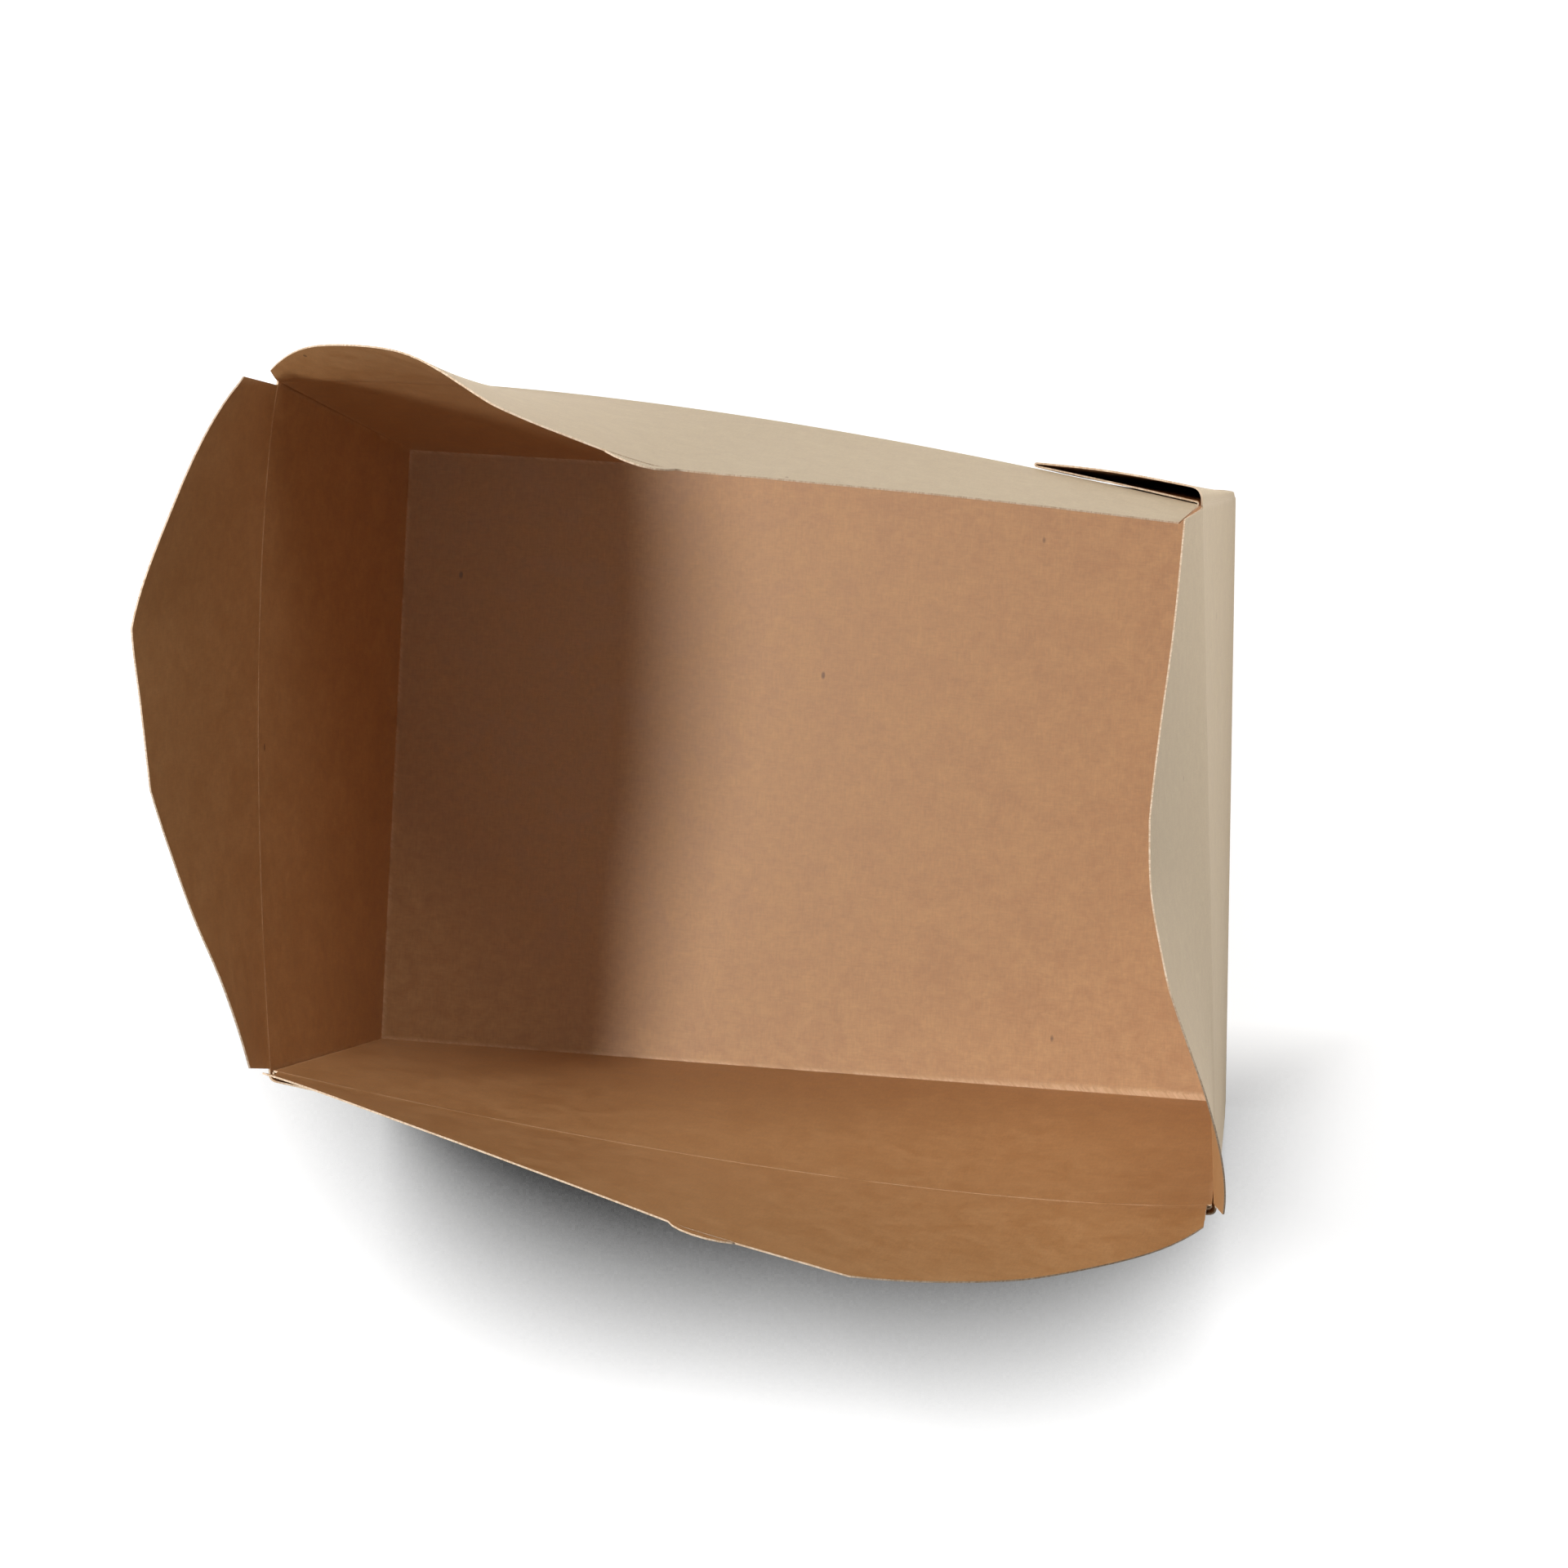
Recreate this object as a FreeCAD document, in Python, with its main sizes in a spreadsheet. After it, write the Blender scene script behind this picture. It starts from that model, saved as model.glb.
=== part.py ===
import FreeCAD, Part
import math
import os
import Sketcher

# Kraft takeaway box, folded from one die-cut blank of greaseproof board.
# +Z is up, the long side runs along X, and the origin is the centre of the
# underside. Lengths are in millimetres, leans in degrees from upright.
# Every corner and every outline is counted from an arc end: the corner where a
# flap's rounded side begins. The front flap starts at the right, the back flap
# at the left, the left flap at the back and the right flap at the front.

SIZES = [
    ("board", 0.4, "thickness of the board"),
    ("base_length", 198, "inside of the base, along X"),
    ("base_width", 140, "inside of the base, along Y"),
    ("rim_length", 215, "inside of the rim, along X"),
    ("rim_width", 158, "inside of the rim, along Y"),
    ("box_height", 90, "underside to rim crease"),
    ("skew_along", 4.1, "each rim corner's shift along X: the open rim stands askew"),
    ("skew_across", 8.4, "each rim corner's shift along Y"),
    ("gusset_reach", 38, "corner to folded edge of a gusset, at the rim"),
    ("gusset_root", 2, "the same at the base"),
    ("fold_gap", 0.3, "space between a gusset's layers at its fold, at the rim"),
    ("root_gap", 0.15, "the same at the base, and at both sides of a corner there"),
    ("wide_mouth", 2.7, "opening of a gusset at a blunt rim corner"),
    ("tight_mouth", 1.0, "opening of a gusset at a sharp rim corner"),
    ("corner_slit", 0.5, "side wall's end to end wall, at the rim"),
    ("end_crease_gap", 0.45, "rim to end flap"),
    ("long_crease_gap", 0.95, "rim to long flap, which closes over the end flaps"),
    ("front_lean_angle", 7, "outward lean of the front flap"),
    ("back_lean_angle", -8, "outward lean of the back flap"),
    ("left_lean_angle", 7.5, "outward lean of the left flap"),
    ("right_lean_angle", 1, "outward lean of the right flap"),
    ("front_curl_angle", 16, "how much more the front flap leans out at its arc end"),
    ("back_curl_angle", 31, "how much more the back flap leans out at its arc end"),
    ("curl_reach", 97, "arc end to where a long flap's curl has run out"),
    ("curl_root", 8, "height over which the curl starts from the crease"),
    ("long_inset", 0.6, "rim corner to the foot of a long flap"),
    ("long_shoulder_along", 2.6, "top of the short edge at the arc end"),
    ("long_shoulder_rise", 12, "its height"),
    ("long_peak_along", 66, "where the arc meets the free edge"),
    ("long_peak_rise", 79, "its height"),
    ("long_arc_radius", 180, "radius of the rounded side"),
    ("lock_along", 92.5, "mouth of the lock slit"),
    ("lock_rise", 77, "its height"),
    ("lock_slit_length", 11, "depth of the slit along the edge"),
    ("lock_slit_fall", 1.8, "fall of the slit towards its end"),
    ("lock_slit_width", 0.6, "width of the slit"),
    ("lock_finger_length", 15.5, "mouth of the slit to the finger's root in the edge"),
    ("lock_finger_fall", 4.6, "fall of the edge over that length"),
    ("lock_finger_radius", 9.8, "radius of the finger's rounded back"),
    ("long_foot_inset", 2, "rim corner to the top of the short edge at the straight end"),
    ("long_foot_rise", 21, "its height"),
    ("end_inset", 0.8, "rim corner to the foot of an end flap"),
    ("end_shoulder_along", 3.8, "top of the short edge at the arc end"),
    ("end_shoulder_rise", 24, "its height"),
    ("end_peak_along", 54, "where the arc meets the free edge"),
    ("end_peak_rise", 75.5, "its height"),
    ("end_arc_radius", 97, "radius of the rounded side"),
    ("end_knee_along", 90.5, "where the free edge turns down"),
    ("end_knee_rise", 67, "its height"),
    ("end_foot_inset", 3.2, "rim corner to the top of the short edge at the straight end"),
    ("end_foot_rise", 23, "its height"),
]

doc = FreeCAD.newDocument("takeaway_box")
sheet = doc.addObject("Spreadsheet::Sheet", "Sizes")
for row, (alias, value, note) in enumerate(SIZES, start=1):
    sheet.set("A%d" % row, str(value))
    sheet.setAlias("A%d" % row, alias)
    sheet.set("B%d" % row, note)
doc.recompute()

UP = FreeCAD.Vector(0, 0, 1)
FRONT, BACK = -1, 1
LEFT, RIGHT = -1, 1
EIGHTH_TURN = math.radians(45)


def size(name):
    """A driving dimension, read from the sheet."""
    return float(sheet.get(name))


def between(root, rim, rise):
    """A size that grows evenly from the base (rise 0) to the rim (rise 1)."""
    return root + (rim - root) * rise


# Corners of the box

def crease_corner(end, side, rise):
    """Inside corner of a side wall at a share of the height."""
    across = side * size("rim_width") / 2 - end * size("skew_across")
    along = end * size("rim_length") / 2 - side * size("skew_along")
    x = between(end * size("base_length") / 2, along, rise)
    y = between(side * size("base_width") / 2, across, rise)
    return FreeCAD.Vector(x, y, size("box_height") * rise)


def flat_unit(vector):
    """The vector's direction in plan."""
    flat = FreeCAD.Vector(vector.x, vector.y, 0)
    return flat.normalize()


class Corner:
    """The sections of one gusseted corner at a share of the height."""

    def __init__(self, end, side, rise):
        self.crease = crease_corner(end, side, rise)
        self.along = flat_unit(crease_corner(-end, side, rise) - self.crease)
        self.out = FreeCAD.Vector(self.along.y, -self.along.x, 0) * (end * side)
        self.past = flat_unit(self.crease - crease_corner(end, -side, rise))
        self.off = FreeCAD.Vector(self.past.y, -self.past.x, 0) * (end * side)
        mouth = size("tight_mouth") if end != side else size("wide_mouth")
        self.mouth = between(size("root_gap"), mouth, rise)
        self.gap = between(size("root_gap"), size("fold_gap"), rise)
        self.slit = between(size("root_gap"), size("corner_slit"), rise)
        self.reach = between(size("gusset_root"), size("gusset_reach"), rise)

    def at(self, along, out):
        """A point beside the side wall: along it from the corner, and outwards."""
        return self.crease + self.along * along + self.out * out

    def rounded(self, start, peak):
        """Start, middle and end of a rounded turn from the gusset's outer layer into the end wall."""
        radius = (2 * size("board") + self.mouth) / 2
        into = flat_unit(start - peak)
        first = peak + into * radius
        last = peak - self.past * radius
        middle = peak + (into - self.past) * (radius * (1 - math.cos(EIGHTH_TURN)))
        return [first, middle, last]

    def inner(self):
        """Corner points of the inside face, from the side wall to the end wall."""
        board = size("board")
        fold = self.at(self.reach, 2 * board + self.gap)
        peak = self.crease + self.off * self.slit + self.past * (2 * board + self.mouth)
        lines = [self.at(self.reach + board, 0), self.crease]
        lines += [self.at(0, 2 * board), self.at(self.reach, 2 * board), fold]
        return lines, self.rounded(fold, peak)

    def outer(self):
        """Corner points of the outside face, from the side wall to the end wall."""
        board = size("board")
        tip = self.reach + board
        fold = self.at(tip, 3 * board + self.gap)
        peak = self.crease + self.off * (self.slit + board) + self.past * (3 * board + self.mouth)
        return [self.at(tip, board), fold], self.rounded(fold, peak)


# The folded sheet's section is one closed wire: each side wall, the two gussets
# folded back on its outside, and the end walls between them.

def section(face, rise):
    """Closed wire of the inner or outer face at a share of the height."""
    corners = [(RIGHT, FRONT), (RIGHT, BACK), (LEFT, BACK), (LEFT, FRONT)]
    edges = []
    last = None
    first = None
    for end, side in corners:
        corner = Corner(end, side, rise)
        lines, turn = corner.inner() if face == "inner" else corner.outer()
        if end * side < 0:
            path = lines + [turn]
        else:
            path = [turn[::-1]] + lines[::-1]
        for step in path:
            if isinstance(step, list):
                start, middle, stop = step
                if last is not None:
                    edges.append(Part.makeLine(last, start))
                edges.append(Part.Arc(start, middle, stop).toShape())
            else:
                start = stop = step
                if last is not None:
                    edges.append(Part.makeLine(last, start))
            first = start if first is None else first
            last = stop
    edges.append(Part.makeLine(last, first))
    return Part.Wire(edges)


def form(name, face, low, high):
    """Solid between two heights, bounded by one face of the folded sheet."""
    height = size("box_height")
    loft = Part.makeLoft([section(face, low / height), section(face, high / height)], True, True)
    feature = doc.addObject("Part::Feature", name)
    feature.Shape = loft
    feature.Placement = FreeCAD.Placement()
    return feature


# Tray: base, four walls and four gussets

# The inside form runs past the rim, so that the cut leaves no skin there.
CLEAR_ABOVE = 1.0
tray = doc.addObject("Part::Cut", "tray")
tray.Base = form("tray_outside", "outer", 0, size("box_height"))
tray.Tool = form("tray_inside", "inner", size("board"), size("box_height") + CLEAR_ABOVE)
tray.Label = "tray"
tray.Placement = FreeCAD.Placement()


# Flap outlines, drawn flat: X along the crease from the arc end, Y up the flap

def number(terms):
    """The value of a coordinate given as sheet names, with a minus to subtract."""
    return sum(-size(term[1:]) if term.startswith("-") else size(term) for term in terms)


def expression(terms):
    """The same coordinate as an expression on the sheet."""
    parts = ["- Sizes." + term[1:] if term.startswith("-") else "+ Sizes." + term for term in terms]
    return " ".join(parts).lstrip("+ ")


def add_outline(sketch, points, arcs):
    """Draw a closed outline and bind every corner and radius to the sheet."""
    places = [FreeCAD.Vector(number(along), number(rise), 0) for along, rise in points]
    for index, start in enumerate(places):
        stop = places[(index + 1) % len(places)]
        if index in arcs:
            chord = stop - start
            radius = size(arcs[index])
            lift = math.sqrt(radius ** 2 - chord.Length ** 2 / 4)
            across = FreeCAD.Vector(chord.y, -chord.x, 0).normalize()
            centre = (start + stop) / 2 - across * lift
            middle = centre + across * radius
            sketch.addGeometry(Part.Arc(start, middle, stop), False)
        else:
            sketch.addGeometry(Part.LineSegment(start, stop), False)
    for index, (along, rise) in enumerate(points):
        bind_corner(sketch, index, len(points), along, rise)
    for index, radius in arcs.items():
        place = sketch.addConstraint(Sketcher.Constraint("Radius", index, size(radius)))
        sketch.setExpression("Constraints[%d]" % place, "Sizes." + radius)


def bind_corner(sketch, index, count, along, rise):
    """Join two edges and tie their corner to the sheet."""
    before = (index - 1) % count
    first, last = 1, 2
    sketch.addConstraint(Sketcher.Constraint("Coincident", before, last, index, first))
    for kind, terms in (("DistanceX", along), ("DistanceY", rise)):
        if terms:
            place = sketch.addConstraint(Sketcher.Constraint(kind, -1, 1, index, first, number(terms)))
            sketch.setExpression("Constraints[%d]" % place, expression(terms))
        else:
            sketch.addConstraint(Sketcher.Constraint("PointOnObject", index, first, -1))


LONG_OUTLINE = [
    (["long_inset"], []),
    (["rim_length", "-long_inset"], []),
    (["rim_length", "-long_foot_inset"], ["long_foot_rise"]),
    (["lock_along", "lock_finger_length"], ["lock_rise", "lock_slit_width", "-lock_finger_fall"]),
    (["lock_along"], ["lock_rise", "lock_slit_width"]),
    (["lock_along", "lock_slit_length"], ["lock_rise", "lock_slit_width", "-lock_slit_fall"]),
    (["lock_along", "lock_slit_length"], ["lock_rise", "-lock_slit_fall"]),
    (["lock_along"], ["lock_rise"]),
    (["long_peak_along"], ["long_peak_rise"]),
    (["long_shoulder_along"], ["long_shoulder_rise"]),
]
LONG_ARCS = {3: "lock_finger_radius", 8: "long_arc_radius"}

END_OUTLINE = [
    (["end_inset"], []),
    (["rim_width", "-end_inset"], []),
    (["rim_width", "-end_foot_inset"], ["end_foot_rise"]),
    (["end_knee_along"], ["end_knee_rise"]),
    (["end_peak_along"], ["end_peak_rise"]),
    (["end_shoulder_along"], ["end_shoulder_rise"]),
]
END_ARCS = {4: "end_arc_radius"}


# The curl fades by this power from the arc end, in so many straight steps. The
# flap is cut from a curled sheet that reaches past its ends and above its peak.
CURL_FADE = 1.3
CURL_STEPS = 8
PAST_ENDS = 1.0
ABOVE_PEAK = 12.0


def flap_placement(start, stop, lean, gap):
    """Stand a flap on its crease, from its arc end, leaning outwards."""
    along = flat_unit(stop - start)
    out = FreeCAD.Vector(along.y, -along.x, 0)
    if out.dot(start + stop) < 0:
        out = -out
    angle = math.radians(lean)
    rise = UP * math.cos(angle) + out * math.sin(angle)
    face = along.cross(rise)
    foot = start + UP * gap
    return FreeCAD.Placement(FreeCAD.Matrix(
        along.x, rise.x, face.x, foot.x,
        along.y, rise.y, face.y, foot.y,
        along.z, rise.z, face.z, foot.z,
        0, 0, 0, 1))


def add_plate(name, outline, arcs, depth, reverse):
    """A flap's outline padded to a depth along its own Z."""
    body = doc.addObject("PartDesign::Body", name)
    body.Label = name
    sketch = body.newObject("Sketcher::SketchObject", name + "_outline")
    plane = [item for item in body.Origin.OriginFeatures if item.Role == "XY_Plane"][0]
    sketch.AttachmentSupport = [(plane, "")]
    sketch.MapMode = "FlatFace"
    add_outline(sketch, outline, arcs)
    doc.recompute()
    pad = body.newObject("PartDesign::Pad", name + "_pad")
    pad.Profile = sketch
    pad.setExpression("Length", depth)
    pad.Reversed = reverse
    body.Tip = pad
    return body


def curl_section(along, angle):
    """Closed section of a curled sheet, across the crease, at a distance from the arc end.

    The root is a parabola that leaves the crease upright; its tangent at the
    root's top goes back to the middle of the root.
    """
    share = max(0, 1 - along / size("curl_reach")) ** CURL_FADE
    slope = math.tan(math.radians(angle * share))
    thick = size("board") * math.hypot(1, slope)
    root = size("curl_root")
    half = root / 2
    top = size("long_peak_rise") + ABOVE_PEAK
    profile = [(rise, slope * rise ** 2 / (2 * root)) for rise in (0, half, root)]
    profile.append((top, slope * (top - half)))
    inner = [FreeCAD.Vector(along, rise, -out) for rise, out in profile]
    outer = [FreeCAD.Vector(along, rise, -out - thick) for rise, out in reversed(profile)]
    return Part.makePolygon(inner + outer + inner[:1])


def add_curled_flap(name, start, stop, lean, curl, gap):
    """A long flap: its outline cut from a sheet that curls outwards at the arc end."""
    past_end = size("rim_length") + PAST_ENDS
    steps = [size("curl_reach") * step / CURL_STEPS for step in range(CURL_STEPS + 1)]
    sections = [curl_section(along, size(curl)) for along in [-PAST_ENDS] + steps + [past_end]]
    curled = doc.addObject("Part::Feature", name + "_curled_sheet")
    curled.Shape = Part.makeLoft(sections, True, True)
    curled.Placement = FreeCAD.Placement()
    plate = add_plate(name + "_plate", LONG_OUTLINE, LONG_ARCS, "Sizes.long_peak_rise", True)
    flap = doc.addObject("Part::Common", name)
    flap.Base = curled
    flap.Tool = plate
    flap.Label = name
    flap.Placement = flap_placement(start, stop, size(lean), size(gap))
    return flap


def add_flat_flap(name, start, stop, lean, gap):
    """An end flap: its outline padded by the board, outwards from its inside face."""
    flap = add_plate(name, END_OUTLINE, END_ARCS, "Sizes.board", False)
    flap.Placement = flap_placement(start, stop, size(lean), size(gap))
    return flap


def end_wall_corner(end, side):
    """Inside corner of an end wall at the rim, level with the side wall's crease."""
    corner = Corner(end, side, 1)
    return corner.crease + corner.off * corner.slit


flaps = [
    add_curled_flap("front_flap", crease_corner(RIGHT, FRONT, 1), crease_corner(LEFT, FRONT, 1),
                    "front_lean_angle", "front_curl_angle", "long_crease_gap"),
    add_curled_flap("back_flap", crease_corner(LEFT, BACK, 1), crease_corner(RIGHT, BACK, 1),
                    "back_lean_angle", "back_curl_angle", "long_crease_gap"),
    add_flat_flap("left_flap", end_wall_corner(LEFT, BACK), end_wall_corner(LEFT, FRONT),
                  "left_lean_angle", "end_crease_gap"),
    add_flat_flap("right_flap", end_wall_corner(RIGHT, FRONT), end_wall_corner(RIGHT, BACK),
                  "right_lean_angle", "end_crease_gap"),
]

doc.recompute()
for item in doc.Objects:
    if "Invalid" in item.State or "Error" in item.State:
        raise RuntimeError("%s did not build: %s" % (item.Label, item.State))

parts = [tray] + flaps
for part in parts:
    if part.Shape.isNull() or not part.Shape.isValid():
        raise RuntimeError("%s has no valid shape" % part.Label)

os.makedirs("parts", exist_ok=True)
for part in parts:
    part.Shape.exportStep(os.path.join("parts", part.Label + ".step"))
    print(part.Label, len(part.Shape.Solids), "solid,", round(part.Shape.Volume, 1), "mm3")
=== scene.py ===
import logging
import math
from dataclasses import dataclass, field
from enum import Enum
from typing import Callable, Sequence

import bpy
import numpy as np
from mathutils import Matrix, Vector


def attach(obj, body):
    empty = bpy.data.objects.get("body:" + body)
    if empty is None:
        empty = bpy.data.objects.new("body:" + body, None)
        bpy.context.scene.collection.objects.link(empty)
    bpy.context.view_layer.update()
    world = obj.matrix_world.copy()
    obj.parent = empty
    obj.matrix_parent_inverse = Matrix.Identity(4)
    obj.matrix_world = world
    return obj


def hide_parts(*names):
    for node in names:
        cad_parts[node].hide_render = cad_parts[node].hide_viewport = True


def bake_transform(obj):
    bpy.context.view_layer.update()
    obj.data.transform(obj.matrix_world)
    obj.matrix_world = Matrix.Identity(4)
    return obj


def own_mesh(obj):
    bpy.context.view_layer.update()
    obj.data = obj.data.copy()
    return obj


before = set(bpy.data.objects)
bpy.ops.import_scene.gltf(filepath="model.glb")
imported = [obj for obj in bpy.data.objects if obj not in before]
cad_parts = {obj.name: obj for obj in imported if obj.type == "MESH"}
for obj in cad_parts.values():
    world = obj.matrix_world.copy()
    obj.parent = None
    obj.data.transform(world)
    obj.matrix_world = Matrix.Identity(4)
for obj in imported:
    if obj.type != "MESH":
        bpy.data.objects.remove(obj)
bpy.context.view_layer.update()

log = logging.getLogger("takeaway_box")

MM = 0.001
SHARP_FOLD = math.radians(50)
UP = np.array([0.0, 0.0, 1.0])
Point = np.ndarray


class Side(Enum):
    """The four walls, each named for where it stands."""

    FRONT = "front"
    BACK = "back"
    LEFT = "left"
    RIGHT = "right"


class Face(Enum):
    """The three surfaces that a sheet of board shows, as material slots."""

    INSIDE = 0
    OUTSIDE = 1
    CUT = 2


def unit(vector: Point) -> Point:
    """A vector's direction."""
    return vector / np.linalg.norm(vector)


def outward(start: Point, stop: Point) -> Point:
    """The level direction that points out of the box across the line of a crease.

    Args:
        start: One end of the crease.
        stop: Its other end.

    Returns:
        A unit vector away from the middle of the box.
    """
    along = unit((stop - start) * [1, 1, 0])
    out = np.array([along[1], -along[0], 0.0])
    return out if out @ (start + stop) > 0 else -out


def through(knots: Sequence[tuple[float, float]], place: float) -> float:
    """A smooth curve through knots, straight on past the first and the last.

    Args:
        knots: Place and value pairs in rising order of place.
        place: Where the curve is read.

    Returns:
        The curve's value there.
    """
    places = [knot[0] for knot in knots]
    values = [knot[1] for knot in knots]
    slopes = np.gradient(values, places)
    if place <= places[0]:
        return values[0] + slopes[0] * (place - places[0])
    if place >= places[-1]:
        return values[-1] + slopes[-1] * (place - places[-1])
    i = int(np.searchsorted(places, place)) - 1
    width = places[i + 1] - places[i]
    t = (place - places[i]) / width
    heights = (2 * t ** 3 - 3 * t ** 2 + 1) * values[i] + (3 * t ** 2 - 2 * t ** 3) * values[i + 1]
    tangents = (t ** 3 - 2 * t ** 2 + t) * slopes[i] + (t ** 3 - t ** 2) * slopes[i + 1]
    return float(heights + width * tangents)


def smooth(share: float) -> float:
    """Eases a share of 0 to 1 in and out, and holds it there outside."""
    held = min(1.0, max(0.0, share))
    return held * held * (3 - 2 * held)


# Sizes of the folded blank


@dataclass(frozen=True)
class Blank:
    """The folded board's sizes, in millimetres, inside faces."""

    board: float = 0.4
    base_length: float = 198.0
    base_width: float = 140.0
    rim_length: float = 215.0
    rim_width: float = 158.0
    height: float = 90.0
    skew_along: float = 4.1
    skew_across: float = 8.4
    rim_taper: tuple[float, float] = (1.4, 0.5)
    base_shift: dict[tuple[int, int], tuple[float, float]] = field(default_factory=lambda: {
        (-1, 1): (0.0, 0.0), (-1, -1): (-0.4, 1.3), (1, 1): (-2.4, -0.8), (1, -1): (2.3, -1.2)})
    bulge: dict[Side, float] = field(default_factory=lambda: {
        Side.FRONT: 6.0, Side.BACK: 6.3, Side.LEFT: 3.9, Side.RIGHT: 0.0})
    bulge_skew: float = 0.82

    def corner(self, end: int, side: int, rise: float) -> Point:
        """An inside corner of the box.

        Args:
            end: -1 at the left, 1 at the right.
            side: -1 at the front, 1 at the back.
            rise: 0 at the base, 1 at the rim.

        Returns:
            The corner's place.
        """
        shrink_x, shrink_y = self.rim_taper
        shift_x, shift_y = self.base_shift[(end, side)]
        rim = np.array([end * self.rim_length / 2 - side * self.skew_along - end * side * shrink_x,
                        side * self.rim_width / 2 - end * self.skew_across - side * shrink_y,
                        self.height])
        base = np.array([end * self.base_length / 2 + shift_x,
                         side * self.base_width / 2 + shift_y, 0.0])
        return base + (rim - base) * rise

    def ends(self, side: Side, rise: float) -> tuple[Point, Point]:
        """The two corners of a wall, from the arc end of its flap.

        Args:
            side: The wall.
            rise: 0 at the base, 1 at the rim.

        Returns:
            The corner at the flap's arc end, and the other one.
        """
        pairs = {Side.FRONT: ((1, -1), (-1, -1)), Side.BACK: ((-1, 1), (1, 1)),
                 Side.LEFT: ((-1, 1), (-1, -1)), Side.RIGHT: ((1, -1), (1, 1))}
        first, last = pairs[side]
        return self.corner(*first, rise), self.corner(*last, rise)

    def wall_point(self, side: Side, share: float, rise: float) -> Point:
        """A point of a wall's inside face, with the wall's outward bow.

        Args:
            side: The wall.
            share: 0 at the flap's arc end, 1 at the straight end.
            rise: 0 at the base, 1 at the rim.

        Returns:
            The point's place.
        """
        start, stop = self.ends(side, rise)
        skewed = min(max(share, 0.0), 1.0) ** self.bulge_skew
        bow = self.bulge[side] * 4 * skewed * (1 - skewed) * rise
        return start + (stop - start) * share + outward(start, stop) * bow


BLANK = Blank()


# Meshes of board


class SheetMesh:
    """Collects a sheet's points and faces, and gives it the board's thickness."""

    def __init__(self, name: str) -> None:
        """Starts an empty sheet under a piece name."""
        self.name = name
        self.inside: list[Point] = []
        self.outside: list[Point] = []
        self.flat: list[tuple[float, float]] = []
        self.wear_and_highlight: list[float] = []
        self.faces: list[tuple[int, ...]] = []

    def point(self, inside: Point, outside: Point, flat: Sequence[float], wear_and_highlight: float) -> int:
        """Adds a pair of points on the two faces of the board.

        Args:
            inside: The point on the food side.
            outside: The point on the outer side.
            flat: Where it lies on the flat blank, in millimetres.
            wear_and_highlight: How much of a crease runs through it, 0 to 1.

        Returns:
            The pair's number.
        """
        self.inside.append(np.asarray(inside, float))
        self.outside.append(np.asarray(outside, float))
        self.flat.append((flat[0], flat[1]))
        self.wear_and_highlight.append(wear_and_highlight)
        return len(self.inside) - 1

    def face(self, *corners: int) -> None:
        """Adds a face, counter-clockwise seen from the food side."""
        kept = [c for i, c in enumerate(corners) if c != corners[i - 1]]
        if len(set(kept)) > 2:
            self.faces.append(tuple(kept))

    def build(self) -> bpy.types.Object:
        """Makes the mesh object, in metres.

        Returns:
            The linked object, its faces numbered for the slots of Face in their order.
        """
        count = len(self.inside)
        points = np.array(self.inside + self.outside) * MM
        skins = [(f, Face.INSIDE) for f in self.faces]
        skins += [(tuple(i + count for i in reversed(f)), Face.OUTSIDE) for f in self.faces]
        skins += [(edge, Face.CUT) for edge in self.rims(count)]
        mesh = bpy.data.meshes.new(self.name)
        mesh.from_pydata(points.tolist(), [], [f for f, _ in skins])
        mesh.polygons.foreach_set("material_index", [kind.value for _, kind in skins])
        mesh.polygons.foreach_set("use_smooth", [kind is not Face.CUT for _, kind in skins])
        layout = mesh.uv_layers.new(name="blank")
        flat = np.array(self.flat * 2) * MM
        ids = np.zeros(len(mesh.loops), np.int32)
        mesh.loops.foreach_get("vertex_index", ids)
        layout.data.foreach_set("uv", flat[ids].ravel().astype(np.float32))
        wear_and_highlight = mesh.attributes.new("crease", "FLOAT", "POINT")
        wear_and_highlight.data.foreach_set("value", np.array(self.wear_and_highlight * 2, np.float32))
        mesh.update()
        piece = bpy.data.objects.new(self.name, mesh)
        bpy.context.scene.collection.objects.link(piece)
        self.sharpen(mesh)
        return piece

    def rims(self, count: int) -> list[tuple[int, ...]]:
        """Faces of the cut edge, along every edge that only one face uses."""
        used: dict[tuple[int, int], int] = {}
        for f in self.faces:
            for a, b in zip(f, f[1:] + f[:1]):
                used[(a, b)] = used.get((a, b), 0) + 1
        return [(b, a, a + count, b + count) for a, b in used if (b, a) not in used]

    @staticmethod
    def sharpen(mesh: bpy.types.Mesh) -> None:
        """Keeps the cut edges and tight folds crisp under smooth shading."""
        mesh.set_sharp_from_angle(angle=SHARP_FOLD)


# The tray


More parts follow.
